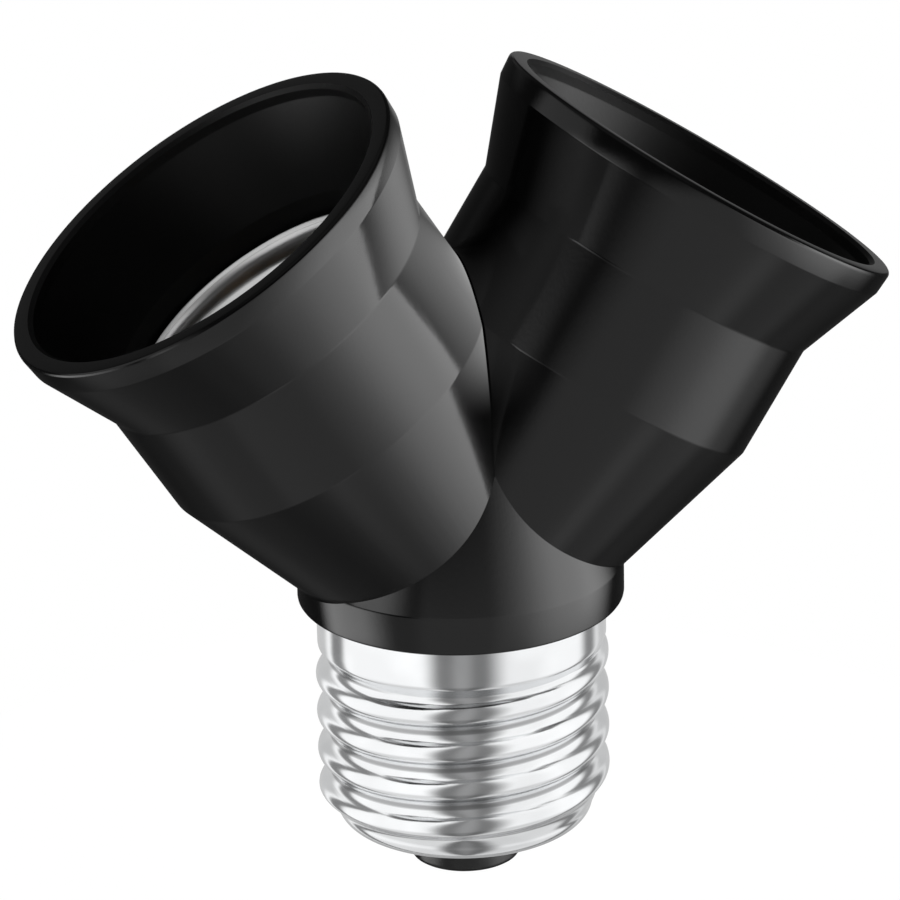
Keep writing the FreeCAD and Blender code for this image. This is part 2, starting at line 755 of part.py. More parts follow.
def main():
    os.makedirs("parts", exist_ok=True)
    nodes = {
        "housing": housing(),
        "cap_shell": cap_shell(),
        "cap_insulator": cap_insulator(),
        "cap_contact": cap_contact(),
    }
    socket_pieces = {
        "socket_shell": socket_shell(),
        "socket_base": socket_base(),
        "fixing_screws": fixing_screws(),
        "contact_leaf": contact_leaf(),
        "contact_button": contact_button(),
        "leaf_rivet": leaf_rivet(),
        "live_tag": live_tag(),
        "shell_strap": shell_strap(),
    }
    for name, shape in socket_pieces.items():
        for side in ("left", "right"):
            nodes[f"{name}_{side}"] = place(shape, side)
    for name, shape in (("live_lead", live_lead()), ("neutral_lead", neutral_lead())):
        nodes[f"{name}_right"] = shape
        turned_round = shape.copy()
        turned_round.rotate(Vector(0, 0, 0), Vector(0, 0, 1), 180)
        nodes[f"{name}_left"] = turned_round
    for name, shape in nodes.items():
        shape.exportStep(f"parts/{name}.step")
        print(name, len(shape.Solids), round(shape.Volume, 1), shape.isValid())


main()
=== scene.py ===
# %% [markdown]
# # A lamp socket adapter in Blender
# The imported model gives every piece at its real size and place. This file dresses it. The black
# moulding, its tip and the rolled metal threads are modelled again with finer edges, the springy
# leaves are cut into short lengths, and every other piece keeps its own mesh. Each piece gets a
# finish built from nodes, and a small studio lights it all.


# %% Load the imported model
import json
import math

import bmesh
import bpy
from mathutils import Matrix, Vector

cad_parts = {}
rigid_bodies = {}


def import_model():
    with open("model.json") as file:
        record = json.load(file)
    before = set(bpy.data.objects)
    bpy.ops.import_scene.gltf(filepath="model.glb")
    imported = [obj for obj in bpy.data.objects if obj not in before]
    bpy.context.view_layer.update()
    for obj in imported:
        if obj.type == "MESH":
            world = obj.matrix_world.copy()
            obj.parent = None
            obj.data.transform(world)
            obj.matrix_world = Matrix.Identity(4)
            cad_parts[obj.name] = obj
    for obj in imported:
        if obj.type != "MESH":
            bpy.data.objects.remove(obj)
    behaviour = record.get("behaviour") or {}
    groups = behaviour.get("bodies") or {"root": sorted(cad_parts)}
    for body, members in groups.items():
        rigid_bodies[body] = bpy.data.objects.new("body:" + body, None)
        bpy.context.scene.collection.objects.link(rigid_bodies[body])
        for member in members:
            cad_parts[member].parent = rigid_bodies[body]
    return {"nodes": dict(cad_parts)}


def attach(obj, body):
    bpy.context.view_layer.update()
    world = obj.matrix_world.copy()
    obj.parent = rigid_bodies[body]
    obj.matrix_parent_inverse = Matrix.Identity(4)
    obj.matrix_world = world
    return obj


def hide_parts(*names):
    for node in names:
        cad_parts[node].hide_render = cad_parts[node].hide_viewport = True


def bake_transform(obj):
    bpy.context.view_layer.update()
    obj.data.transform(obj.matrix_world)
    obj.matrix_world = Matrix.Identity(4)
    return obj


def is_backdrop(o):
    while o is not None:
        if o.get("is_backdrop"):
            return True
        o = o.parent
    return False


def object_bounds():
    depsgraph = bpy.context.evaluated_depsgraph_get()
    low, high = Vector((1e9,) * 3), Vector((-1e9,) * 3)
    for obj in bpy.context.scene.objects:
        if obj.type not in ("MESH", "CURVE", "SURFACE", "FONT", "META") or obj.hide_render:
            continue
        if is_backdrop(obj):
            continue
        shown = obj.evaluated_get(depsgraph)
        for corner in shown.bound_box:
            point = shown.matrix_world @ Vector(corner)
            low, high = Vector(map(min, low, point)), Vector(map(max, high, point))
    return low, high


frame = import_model()
cad_bounds = [list(corner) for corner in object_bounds()]
nodes = frame["nodes"]
print("nodes in the frame:", len(nodes))


# %% [markdown]
# ## Shader maths that reads like arithmetic
# A finish is a handful of patterns added, scaled and mixed. Wiring Math nodes by hand hides that,
# so a small class wraps a socket: an expression on it adds the Math node and gives back its output.


# %% A socket that can be added and multiplied
class Value:
    """A socket of a finish. Arithmetic on it adds Math nodes."""

    def __init__(self, finish, socket):
        self.finish = finish
        self.socket = socket

    def maths(self, operation, *others):
        """Add one Math node on this socket and the others."""
        sockets = dict(enumerate((self, *others)))
        return self.finish.node("ShaderNodeMath", {"operation": operation}, sockets)

    def reflected(self, operation, other):
        """The same with the other value first, for a number that stands before the socket."""
        return self.finish.node("ShaderNodeMath", {"operation": operation}, {0: other, 1: self})

    def __add__(self, other):
        return self.maths("ADD", other)

    def __radd__(self, other):
        return self.reflected("ADD", other)

    def __sub__(self, other):
        return self.maths("SUBTRACT", other)

    def __rsub__(self, other):
        return self.reflected("SUBTRACT", other)

    def __mul__(self, other):
        return self.maths("MULTIPLY", other)

    def __rmul__(self, other):
        return self.reflected("MULTIPLY", other)

    def between(self, low, high):
        """0 below low, 1 above high, and a smooth rise between them."""
        return self.finish.node(
            "ShaderNodeMapRange",
            {"interpolation_type": "SMOOTHSTEP"},
            {"Value": self, "From Min": low, "From Max": high},
        )

    def parts(self):
        """The x, y and z of a vector."""
        return [self.finish.node("ShaderNodeSeparateXYZ", {}, {0: self}, i) for i in range(3)]


# %% [markdown]
# ## One class for a finish
# `node` adds any node: its settings first, then the numbers or links of its sockets. `surface`
# ends a finish in one Principled shader, so every piece exports the same way. The studio's tents
# and lamps are built with the same class, and end in an emission shader.


# %% A finish made of nodes
class Finish:
    """A material, or a lamp's light, that is built up node by node."""

    def __init__(self, name, lamp=None):
        self.owner = lamp or bpy.data.materials.new(name)
        self.owner.use_nodes = True
        self.tree = self.owner.node_tree
        self.tree.nodes.clear()

    def feed(self, slot, value):
        """Link a value to a socket, or set the socket to a number."""
        if isinstance(value, Value):
            self.tree.links.new(value.socket, slot)
        else:
            slot.default_value = value

    def node(self, kind, settings, values, output=0):
        """Add a node, and give back one of its outputs by name or by number."""
        node = self.tree.nodes.new(kind)
        for name, value in settings.items():
            setattr(node, name, value)
        for name, value in values.items():
            self.feed(node.inputs[name], value)
        return Value(self, node.outputs[output])

    def place(self):
        """Object coordinates, in metres."""
        return self.node("ShaderNodeTexCoord", {}, {}, "Object")

    def noise(self, scale, detail, stretch=(1, 1, 1)):
        """A cloudy pattern about 0.5. A small number in stretch draws it out along that axis."""
        place = self.node("ShaderNodeMapping", {}, {"Vector": self.place(), "Scale": stretch})
        values = {"Vector": place, "Scale": scale, "Detail": detail}
        return self.node("ShaderNodeTexNoise", {}, values, "Fac")

    def mixed(self, factor, first, second):
        """A colour between two colours. Sockets 6 and 7 of the Mix node are its colours."""
        values = {"Factor": factor, 6: first, 7: second}
        return self.node("ShaderNodeMix", {"data_type": "RGBA"}, values, 2)

    def bump(self, height, strength, distance):
        """A surface normal that follows a height. The distance is in metres."""
        values = {"Height": height, "Strength": strength, "Distance": distance}
        return self.node("ShaderNodeBump", {}, values)

    def end(self, shader, kind="ShaderNodeOutputMaterial"):
        """Give the last shader to the output, and give back the finished material or lamp."""
        output = self.tree.nodes.new(kind)
        self.feed(output.inputs["Surface"], shader)
        return self.owner

    def surface(self, **values):
        """End in a Principled shader, its sockets named with an underscore for each space."""
        sockets = {name.replace("_", " "): value for name, value in values.items()}
        return self.end(self.node("ShaderNodeBsdfPrincipled", {}, sockets))


def shade(colour, share):
    """A colour made darker or lighter, with the fourth number that a colour socket takes."""
    return (*(part * share for part in colour), 1)


print("half of a mid grey:", shade((0.5, 0.5, 0.5), 0.5))


# %% [markdown]
# ## Black moulded plastic
# The housing is a glossy thermoset with almost no texture. It could have one flat black, but then
# it would look drawn. What sells it is small: the gloss wanders a little where the mould was
# polished by hand, and a very fine grain breaks up the highlights. The inside of the mouths and
# the bases in them come from unpolished cores, so they are duller.


# %% Black finishes
BLACK_TINT = (1, 1, 1.02)
GRAIN_DEPTH = 0.00002


def black_moulding(name, grey, gloss, grain, shine=0.5):
    """grey is the colour's level, gloss the roughness, and grain how strong the bump is."""
    finish = Finish(name)
    cloud = finish.noise(90, 3)
    fine = finish.noise(2600, 2)
    return finish.surface(
        Base_Color=finish.mixed(cloud, shade(BLACK_TINT, grey * 0.9), shade(BLACK_TINT, grey * 1.1)),
        Roughness=cloud.between(0.3, 0.75) * 0.04 + gloss + (fine - 0.5) * 0.02,
        Specular_IOR_Level=shine,
        Normal=finish.bump(fine, grain, GRAIN_DEPTH),
    )


housing_finish = black_moulding("housing_black", grey=0.003, gloss=0.1, grain=0.15)
mouth_finish = black_moulding("mouth_black", grey=0.003, gloss=0.42, grain=0.4, shine=0.35)
insulator_finish = black_moulding("insulator_black", grey=0.005, gloss=0.22, grain=0.3)
base_finish = black_moulding("base_black", grey=0.008, gloss=0.42, grain=0.6)
print("black finishes:", housing_finish.name, mouth_finish.name, insulator_finish.name, base_finish.name)


# %% [markdown]
# ## Plated and bare metals
# Rolled threads and turned rivets carry faint rings from the tool. Rings about an axis are noise
# that is squeezed flat, so it changes along the piece and hardly across it. The cap's thread roots
# get painted shade: their colour is darkened, and they are also a little rougher. A root is found
# by its distance from the cap's middle line, so the painted shade follows the thread.


# %% Metal finishes
ROOT_START = 0.01205
ROOT_END = 0.0121
LOWEST_ROOT = -0.0187
RING_STRETCH = (0.02, 0.02, 1)


def ringed_metal(name, colour, gloss, rings, depth, grooves=None):
    """Bright metal with fine rings. The optional mask gives 1 where painted shade darkens the thread's
    roots.
    """
    finish = Finish(name)
    ring = finish.noise(rings, 3, RING_STRETCH)
    cloud = finish.noise(160, 2)
    tint = finish.mixed(cloud.between(0.35, 0.7), shade(colour, 0.9), shade(colour, 1))
    roughness = cloud * 0.05 + gloss + (ring - 0.5) * 0.05
    if grooves:
        painted_root_shade = grooves(finish)
        # painted shade: the thread's roots are darkened towards 0.3 of the colour
        tint = finish.mixed(painted_root_shade, tint, shade(colour, 0.3))
        roughness = roughness + painted_root_shade * 0.1
    return finish.surface(
        Base_Color=tint,
        Metallic=1.0,
        Roughness=roughness,
        Normal=finish.bump(ring, depth, GRAIN_DEPTH),
    )


def cap_root_shade(finish):
    """Painted shade in the bottom of the cap's thread, down to the last root above the nose."""
    x, y, z = finish.place().parts()
    radius = (x * x + y * y).maths("SQRT")
    in_groove = 1 - radius.between(ROOT_START, ROOT_END)
    return in_groove * z.between(LOWEST_ROOT, LOWEST_ROOT + 0.0005) * 0.8


NICKEL = (0.86, 0.87, 0.88)
# painted shade: the shells' plate is a darker grey than the cap's nickel, for the dimmer light inside the
# mouths
MOUTH_SHADED_NICKEL = (0.5, 0.5, 0.5)
BRASS = (0.83, 0.62, 0.3)
BRONZE = (0.74, 0.46, 0.25)
ZINC = (0.62, 0.63, 0.66)
plate_finish = ringed_metal("nickel_plate", NICKEL, gloss=0.12, rings=5000, depth=0.1, grooves=cap_root_shade)
shell_finish = ringed_metal("socket_plate", MOUTH_SHADED_NICKEL, gloss=0.3, rings=5000, depth=0.2)
brass_finish = ringed_metal("bare_brass", BRASS, gloss=0.2, rings=6000, depth=0.3)
bronze_finish = ringed_metal("spring_bronze", BRONZE, gloss=0.24, rings=4000, depth=0.3)
steel_finish = ringed_metal("zinc_steel", ZINC, gloss=0.26, rings=6000, depth=0.3)
print("nodes in the cap's finish:", len(plate_finish.node_tree.nodes))


# %% [markdown]
# ## Insulated wire
# Two wires run from each socket down to the cap, one to its tip and one to its side. Their covers
# are soft plastic: hardly any gloss, and a slightly uneven skin from the die that they were drawn
# through. Brown and blue tell the two apart, as in any lamp.


# %% Wire finishes
def wire_cover(name, colour):
    """A soft, slightly uneven plastic cover."""
    finish = Finish(name)
    soft = finish.noise(700, 3)
    return finish.surface(
        Base_Color=finish.mixed(soft, shade(colour, 0.75), shade(colour, 1)),
        Roughness=soft * 0.15 + 0.38,
        Normal=finish.bump(soft, 0.2, 0.00005),
    )


live_finish = wire_cover("live_wire", (0.28, 0.09, 0.04))
neutral_finish = wire_cover("neutral_wire", (0.04, 0.1, 0.35))
print("wire finishes:", live_finish.name, neutral_finish.name)


# %% [markdown]
# ## Sizes
# Everything follows from the screw thread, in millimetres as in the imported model. The sheet's
# radii come first, then the seats just outside the sheet, then the walls outside the seats. The
# heights are counted up a socket's own axis from the seat of its shell, and that seat lies where
# the wall between the two tilted bores is still thick enough.


# %% Sizes that the thread sets
MM = 0.001
PITCH = 3.629
WAVE = 1.1
CREST_R = 13.15
SHEET = 0.3
AIR = 0.12
SEAT_GAP = 0.15
TILT = math.radians(32.5)  # between the stem and each socket
CROSSING = 1.94  # where both sockets' axes meet the stem
BORE_WALL = 1.33  # where the two bores come closest
LOOSENESS = 0.2  # between a lamp's thread and the shell's

CAP_MID_R = CREST_R - WAVE / 2
CAP_BAND_R = CREST_R - 0.2
CAP_SKIRT_R = CREST_R - WAVE - 0.45
SHELL_MID_R = CAP_MID_R + LOOSENESS
SHELL_ROOT_R = SHELL_MID_R + WAVE / 2
LIP_R = SHELL_ROOT_R - 0.05
FOOT_R = SHELL_ROOT_R - 0.25
SHELL_CORNER_R = 0.6
SEAT_R = SHELL_ROOT_R + SHEET + SEAT_GAP
THROAT_R = SEAT_R + 0.6
CUP_R = THROAT_R + 1.87
MOUTH_R = THROAT_R + 2.95
RIM_R = MOUTH_R + 2.0

SHELL_HEIGHT = 8.1
SHELL_SEAT = (SEAT_R * math.cos(TILT) + BORE_WALL / 2) / math.sin(TILT)
LIP_TOP = SHELL_SEAT + SHELL_HEIGHT
LEDGE = LIP_TOP - 0.95
THROAT_TOP = LEDGE + 3.15
FLARE_START = THROAT_TOP - 0.45
FLARE_END = FLARE_START + 7.75
RIM_TOP = FLARE_END + 2.1

SCREW_HEAD_R = 1.1
SCREW_PLACE = FOOT_R - SHELL_CORNER_R - SCREW_HEAD_R - AIR
print("a shell sits", round(SHELL_SEAT, 2), "mm up its socket, the rim at", round(RIM_TOP, 2))


# %% [markdown]
# ## Round pieces without a lathe
# Nearly every piece here was turned, drawn or moulded round an axis. A profile could be spun, but a
# disc that is extruded ring by ring gives the same solid with even strips and closed ends, and the
# bevel operator then rounds the rings that the mould or the tool rounded. Upright is simplest, so
# a piece is tilted only when it is whole. The modelling is done with one unit as a millimetre,
# because joins and cuts of solids that are only hundredths of a unit wide lose tiny faces.


# %% Editing one piece
SIDES = 256
SAME_PLACE = 1e-4


def edit(piece, kind="FACE"):
    """Open a piece for editing with nothing selected."""
    bpy.ops.object.select_all(action="DESELECT")
    bpy.context.view_layer.objects.active = piece
    piece.select_set(True)
    bpy.ops.object.mode_set(mode="EDIT")
    bpy.ops.mesh.select_mode(type=kind)
    bpy.ops.mesh.select_all(action="DESELECT")
    return bmesh.from_edit_mesh(piece.data)


def close_edit(piece):
    """Write the edited mesh back and leave edit mode."""
    bmesh.update_edit_mesh(piece.data)
    bpy.ops.object.mode_set(mode="OBJECT")


def extrude_ring(r, z, next_r, next_z):
    """Extrude the selected ring to the next height and give it the next radius."""
    bpy.ops.mesh.extrude_region_move(TRANSFORM_OT_translate={"value": (0, 0, next_z - z)})
    grow = next_r / r
    bpy.ops.transform.resize(value=(grow, grow, 1), center_override=(0, 0, next_z))


def circle(name, sides, fill, r, z):
    """A new circle about Z, open for editing and selected."""
    bpy.ops.object.select_all(action="DESELECT")
    bpy.ops.mesh.primitive_circle_add(vertices=sides, radius=r, fill_type=fill)
    piece = bpy.context.object
    piece.name = name
    edit(piece, "FACE" if fill == "NGON" else "EDGE")
    bpy.ops.mesh.select_all(action="SELECT")
    bpy.ops.transform.translate(value=(0, 0, z))
    return piece


def round_rings(piece, profile):
    """Bevel each ring that has a rounding. The width is the radius seen from the corner's turn."""
    for i, (r, z, rounding) in enumerate(profile):
        if not rounding:
            continue
        before = Vector((r - profile[i - 1][0], z - profile[i - 1][1]))
        after = Vector((profile[i + 1][0] - r, profile[i + 1][1] - z))
        width = rounding * math.tan(before.angle(after) / 2)
        mesh = edit(piece, "EDGE")
        for edge in mesh.edges:
            ends = [(math.hypot(v.co.x, v.co.y) - r, v.co.z - z) for v in edge.verts]
            if all(abs(gap) < SAME_PLACE for end in ends for gap in end):
                edge.select_set(True)
        bpy.ops.mesh.bevel(offset=width, segments=4, affect="EDGES")
        close_edit(piece)


def turned(name, profile, sides=SIDES):
    """A closed solid about Z, from (radius, height, rounding) rings in millimetres, from below."""
    r, z, _ = profile[0]
    piece = circle(name, sides, "NGON", r, z)
    for next_r, next_z, _ in profile[1:]:
        extrude_ring(r, z, next_r, next_z)
        r, z = next_r, next_z
    bpy.ops.mesh.select_all(action="SELECT")
    bpy.ops.mesh.normals_make_consistent(inside=False)
    close_edit(piece)
    round_rings(piece, profile)
    return piece


print("a turned piece has", SIDES, "sides, each", round(2 * math.pi * RIM_R / SIDES, 2), "mm at the rim")


# %% [markdown]
# ## Place, join and cut
# The mould for a cup stands at an angle to the stem. One matrix says where an upright socket goes,
# so the cup, its hollow, its shell and its leaf all lean by exactly the same turn. Joining and
# cutting are Boolean modifiers that are applied at once. The manifold solver is fast and keeps a
# closed solid closed, and its material mode hands a cutter's finish to the faces that it leaves.


# %% Place, join and cut
def fix_in_mesh(piece):
    """Write the object's place, turn and size into its mesh."""
    bpy.ops.object.select_all(action="DESELECT")
    bpy.context.view_layer.objects.active = piece
    piece.select_set(True)
    bpy.ops.object.transform_apply(location=True, rotation=True, scale=True)


def socket_place(side):
    """The matrix that leans an upright socket over and sets it on the stem."""
    turn = Matrix.Rotation(TILT, 4, "Y")
    if side == "left":
        turn = Matrix.Rotation(math.pi, 4, "Z") @ turn
    return Matrix.Translation((0, 0, CROSSING)) @ turn


def stand(piece, side):
    """Tilt an upright socket piece into its place."""
    piece.matrix_world = socket_place(side)
    fix_in_mesh(piece)


def combined(piece, tool, operation):
    """Join or cut with another solid, which is used up."""
    step = piece.modifiers.new(operation.lower(), "BOOLEAN")
    step.operation = operation
    step.solver = "MANIFOLD"
    step.material_mode = "TRANSFER"
    step.object = tool
    bpy.ops.object.select_all(action="DESELECT")
    bpy.context.view_layer.objects.active = piece
    bpy.ops.object.modifier_apply(modifier=step.name)
    bpy.data.objects.remove(tool)


def screw_holes(piece, radius, low, high, side=None):
    """Drill the two holes of a socket's fixing screws, upright or at the lean of a side."""
    for across in (-1, 1):
        hole = turned("hole", ((radius, low, 0), (radius, high, 0)), 24)
        hole.location.y = across * SCREW_PLACE
        fix_in_mesh(hole)
        if side:
            stand(hole, side)
        combined(piece, hole, "DIFFERENCE")


print("the right socket leans to", [round(v, 3) for v in socket_place("right").col[2][:3]])


# %% [markdown]
# ## Hand a finished piece to the frame
# A finished piece is scaled to metres, smoothed and dressed. Then it is attached to the body that
# it moves with, and the node of the imported model that it stands for stays behind, hidden.


# %% Finish a piece
def finished(piece, finish, node, smooth_degrees):
    """Scale, smooth and dress a piece of the adapter's body, attach it to the body and hide its node."""
    piece.scale = (MM, MM, MM)
    fix_in_mesh(piece)
    bpy.ops.object.shade_smooth_by_angle(angle=math.radians(smooth_degrees))
    if finish:
        piece.data.materials.clear()
        piece.data.materials.append(finish)
    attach(piece, "adapter")
    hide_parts(node)
    print(piece.name, "faces:", len(piece.data.polygons))


# %% [markdown]
# ## The housing
# The real one is moulded in one shot: a collar with a tapering neck, and two cups that run into
# it and into each other in plain creases. Here the three outsides are turned and joined first, and
# the hollows are cut after that, as the mould's cores make them. Cutting last keeps both mouths
# clear. A cutting solid hands its own finish to the faces that it leaves, so the unpolished inside
# is duller than the outside. The rim's edges get real roundings, because they carry bright lines.


# %% Turn the outsides and join them
EDGE_R = 0.35
SHOULDER_R = 0.7
RIM_EDGE_R = 0.4
SPIGOT_R = CAP_BAND_R - SHEET - AIR
SPIGOT_HEIGHT = 3.4
GROOVE_R = CAP_BAND_R + AIR
GROOVE_DEPTH = 0.4
COLLAR_R = CAP_BAND_R + 1.65
COLLAR_HEIGHT = 3.5
NECK_TOP = 18.0
NECK_TOP_R = COLLAR_R - (NECK_TOP - COLLAR_HEIGHT) * math.tan(math.radians(17.3))
CUP_START = 5.0
BODY_START = SHELL_SEAT - 0.7
CUP_START_R = CUP_R - (BODY_START - CUP_START) * math.tan(math.radians(16.26))

STEM = (
    (SPIGOT_R, -SPIGOT_HEIGHT, 0),
    (SPIGOT_R, GROOVE_DEPTH, 0),
    (GROOVE_R, GROOVE_DEPTH, 0),
    (GROOVE_R, 0, 0),
    (COLLAR_R, 0, EDGE_R),
    (COLLAR_R, COLLAR_HEIGHT, SHOULDER_R),
    (NECK_TOP_R, NECK_TOP, 0),
)
CUP = (
    (CUP_START_R, CUP_START, 0),
    (CUP_R, BODY_START, SHOULDER_R),
    (CUP_R, FLARE_START, SHOULDER_R),
    (RIM_R - 0.15, FLARE_END, EDGE_R),
    (RIM_R, RIM_TOP, RIM_EDGE_R),
    (MOUTH_R, RIM_TOP, 0),
)

housing = turned("housing_moulding", STEM)
housing.data.materials.append(housing_finish)
for side in ("left", "right"):
    cup = turned("cup", CUP)
    cup.data.materials.append(housing_finish)
    stand(cup, side)
    combined(housing, cup, "UNION")
print("outside faces:", len(housing.data.polygons))


# %% Cut the hollows
OVERCUT = 1.0
BORE_START = -SPIGOT_HEIGHT - OVERCUT
BORE_END = 12.0
BORE_MID_R = SPIGOT_R - 1.23
BORE_DRAFT = math.tan(math.radians(6.5))
LOWER_BORE_R = 9.78
LOWER_BORE_END = SHELL_SEAT - 12.9
BASE_SEAT_R = 12.65
BASE_SEAT = SHELL_SEAT - 1.0
MOUTH_BAND = 1.2
CORE_EDGE_R = 0.5
SCREW_HOLE_R = 0.68
SCREW_HOLE_END = SHELL_SEAT - 6.0

BORE = (
    (BORE_MID_R - BORE_START * BORE_DRAFT, BORE_START, 0),
    (BORE_MID_R - BORE_END * BORE_DRAFT, BORE_END, 0),
)
HOLLOW = (
    (LOWER_BORE_R, LOWER_BORE_END, 0),
    (LOWER_BORE_R, BASE_SEAT, 0),
    (BASE_SEAT_R, BASE_SEAT, 0),
    (BASE_SEAT_R, SHELL_SEAT, 0),
    (SEAT_R, SHELL_SEAT, 0),
    (SEAT_R, LEDGE, 0),
    (THROAT_R, LEDGE, 0),
    (THROAT_R, THROAT_TOP, CORE_EDGE_R),
    (MOUTH_R, RIM_TOP - MOUTH_BAND, CORE_EDGE_R),
    (MOUTH_R, RIM_TOP - EDGE_R, 0),
    (MOUTH_R + EDGE_R, RIM_TOP, 0),
    (MOUTH_R + EDGE_R, RIM_TOP + OVERCUT, 0),
)

bore = turned("bore", BORE)
bore.data.materials.append(mouth_finish)
combined(housing, bore, "DIFFERENCE")
for side in ("left", "right"):
    core = turned("core", HOLLOW)
    core.data.materials.append(mouth_finish)
    stand(core, side)
    combined(housing, core, "DIFFERENCE")
    screw_holes(housing, SCREW_HOLE_R, SCREW_HOLE_END, SHELL_SEAT + OVERCUT, side)
print("finishes on the moulding:", [slot.name for slot in housing.data.materials])
finished(housing, None, "housing", 20)


# %% [markdown]
# ## Rolled threads
# The cap and both socket shells are sheet metal tubes with a round thread rolled into them, so
# the inside shows the same wave as the outside. An open tube is extruded ring by ring, and then
# each of its points moves in or out by the wave's height at that turn, which a formula gives
# better than any operator. Solidify gives the sheet its thickness, and a bevel rounds cut edges.


# %% The wave of the thread
WAVE_TURN = 2 * math.atan(2 * WAVE / PITCH)
WAVE_ARC = PITCH / 4 / math.sin(WAVE_TURN)


def wave_height(along):
    """Two arcs that meet in a slope: a crest where along is 0, and a root half a turn on."""
    along = abs((along + PITCH / 2) % PITCH - PITCH / 2)
    slope_end = WAVE_ARC * math.cos(WAVE_TURN)
    if along < PITCH / 4:
        return math.sqrt(WAVE_ARC**2 - along**2) - slope_end
    return slope_end - math.sqrt(WAVE_ARC**2 - (PITCH / 2 - along) ** 2)


def smooth_step(share):
    """0 up to share 0, 1 from share 1 on, and a smooth rise between them."""
    share = max(0.0, min(1.0, share))
    return share * share * (3 - 2 * share)


crest_to_crest = [round(CAP_MID_R + wave_height(i * PITCH / 6), 2) for i in range(7)]
print("the cap's radius over one pitch:", crest_to_crest)


# %% The line of a tube
def even_steps(start, end, step):
    """Points from start up to and with end, with start left out."""
    length = math.dist(start, end)
    count = max(1, round(length / step))
    return [tuple(a + (b - a) * i / count for a, b in zip(start, end)) for i in range(1, count + 1)]


def arc(centre, radius, first, last, count):
    """Points on an arc in the (radius, height) plane, angles in degrees from the outward side."""
    points = []
    for i in range(count + 1):
        a = math.radians(first + (last - first) * i / count)
        points.append((centre[0] + radius * math.cos(a), centre[1] + radius * math.sin(a)))
    return points


print("a quarter turn in three steps:", [tuple(round(v, 2) for v in p) for p in arc((0, 0), 1, 0, 90, 3)])


# %% An open tube with a thread rolled into it
TUBE_SIDES = 240
CUT_EDGE_R = 0.12


def sleeve(name, path):
    """An open tube about Z through (radius, height) points."""
    r, z = path[0]
    piece = circle(name, TUBE_SIDES, "NOTHING", r, z)
    for next_r, next_z in path[1:]:
        extrude_ring(r, z, next_r, next_z)
        r, z = next_r, next_z
    close_edit(piece)
    return piece


def roll_thread(piece, top, bottom, fade, mid_r, crest_z, crest_side):
    """Move the tube's points onto the thread. It fades out towards the top and the bottom.

    A crest passes the height crest_z on the side crest_side, in degrees about the tube.
    """
    for point in piece.data.vertices:
        x, y, z = point.co
        depth = smooth_step((top - z) / fade) * smooth_step((z - bottom) / fade)
        if not depth:
            continue
        r = math.hypot(x, y)
        turn = (math.atan2(y, x) - math.radians(crest_side)) / (2 * math.pi)
        threaded = mid_r + wave_height(z - crest_z - PITCH * turn)
        grow = (r + depth * (threaded - r)) / r
        point.co = (x * grow, y * grow, z)


def sheet_thickness(piece, facing_in):
    """Face the gauged side, thicken the sheet behind it and take the edge off its ends."""
    edit(piece)
    bpy.ops.mesh.select_all(action="SELECT")
    bpy.ops.mesh.normals_make_consistent(inside=facing_in)
    close_edit(piece)
    wall = piece.modifiers.new("sheet", "SOLIDIFY")
    wall.thickness = SHEET
    wall.offset = -1
    wall.use_even_offset = True
    ends = piece.modifiers.new("cut edges", "BEVEL")
    ends.width = CUT_EDGE_R
    ends.segments = 3
    ends.limit_method = "ANGLE"
    ends.angle_limit = math.radians(60)
    for step in ("sheet", "cut edges"):
        bpy.ops.object.modifier_apply(modifier=step)


print("a rolled tube has", TUBE_SIDES, "sides, each", round(2 * math.pi * CREST_R / TUBE_SIDES, 2), "mm")


# %% [markdown]
# ## The screw cap
# Nickel-plated brass: a plain band under the collar, four and a half turns of thread, and a nose
# that is turned in to the black tip. Its parts could be separate rings, but the real cap is one
# sheet, so it is drawn in one line from the band down. The rings lie closest where the thread is.


# %% Roll the cap
BAND_END = -3.6
CAP_CORNER_R = 1.6
NOSE_TAPER = 22
NOSE_DROP = 23.7
NOSE_DROP_R = 4.6
NOSE_HOLE_R = 5.12
CREST_Z = -10.19
CREST_SIDE = -106.7

nose_slope = math.tan(math.radians(NOSE_TAPER))
corner_turn = math.radians(90 - NOSE_TAPER)
corner_r = CAP_SKIRT_R - CAP_CORNER_R
nose_start_r = corner_r + CAP_CORNER_R * math.cos(corner_turn)
nose_start_z = (nose_start_r - NOSE_DROP_R) * nose_slope - NOSE_DROP
corner_z = nose_start_z + CAP_CORNER_R * math.sin(corner_turn)
nose_end_z = (NOSE_HOLE_R - NOSE_DROP_R) * nose_slope - NOSE_DROP

cap_line = [(CAP_BAND_R, GROOVE_DEPTH)]
cap_line += even_steps((CAP_BAND_R, GROOVE_DEPTH), (CAP_BAND_R, BAND_END), step=0.4)
cap_line += even_steps((CAP_BAND_R, BAND_END), (CAP_SKIRT_R, corner_z), step=0.16)
cap_line += arc((corner_r, corner_z), CAP_CORNER_R, 0, NOSE_TAPER - 90, 12)[1:]
cap_line += even_steps((nose_start_r, nose_start_z), (NOSE_HOLE_R, nose_end_z), step=0.6)
cap = sleeve("screw_cap", cap_line)
roll_thread(
    cap,
    top=BAND_END,
    bottom=corner_z - 0.1,
    fade=1.8,
    mid_r=CAP_MID_R,
    crest_z=CREST_Z,
    crest_side=CREST_SIDE,
)
sheet_thickness(cap, facing_in=False)
print("the nose starts", round(-nose_start_z, 2), "mm below the collar")
finished(cap, plate_finish, "cap_shell", 40)


# %% [markdown]
# ## The black tip
# A moulded plug fills the cap's end and stands out of it as a rounded boss, with a shallow seat for
# the contact's head. It is turned as one solid, and then its middle is cut out for the contact. It
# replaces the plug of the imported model, because the photograph shows a slightly wider boss.


# %% Turn the tip
TIP_R = 4.98
TIP_END = -25.4
TIP_SHOULDER = -23.1
PLUG_R = 11.0
PLUG_FOOT = -20.07
PLUG_TOP = -16.6
CONTACT_SEAT = -25.2
CONTACT_HOLE_R = 1.36

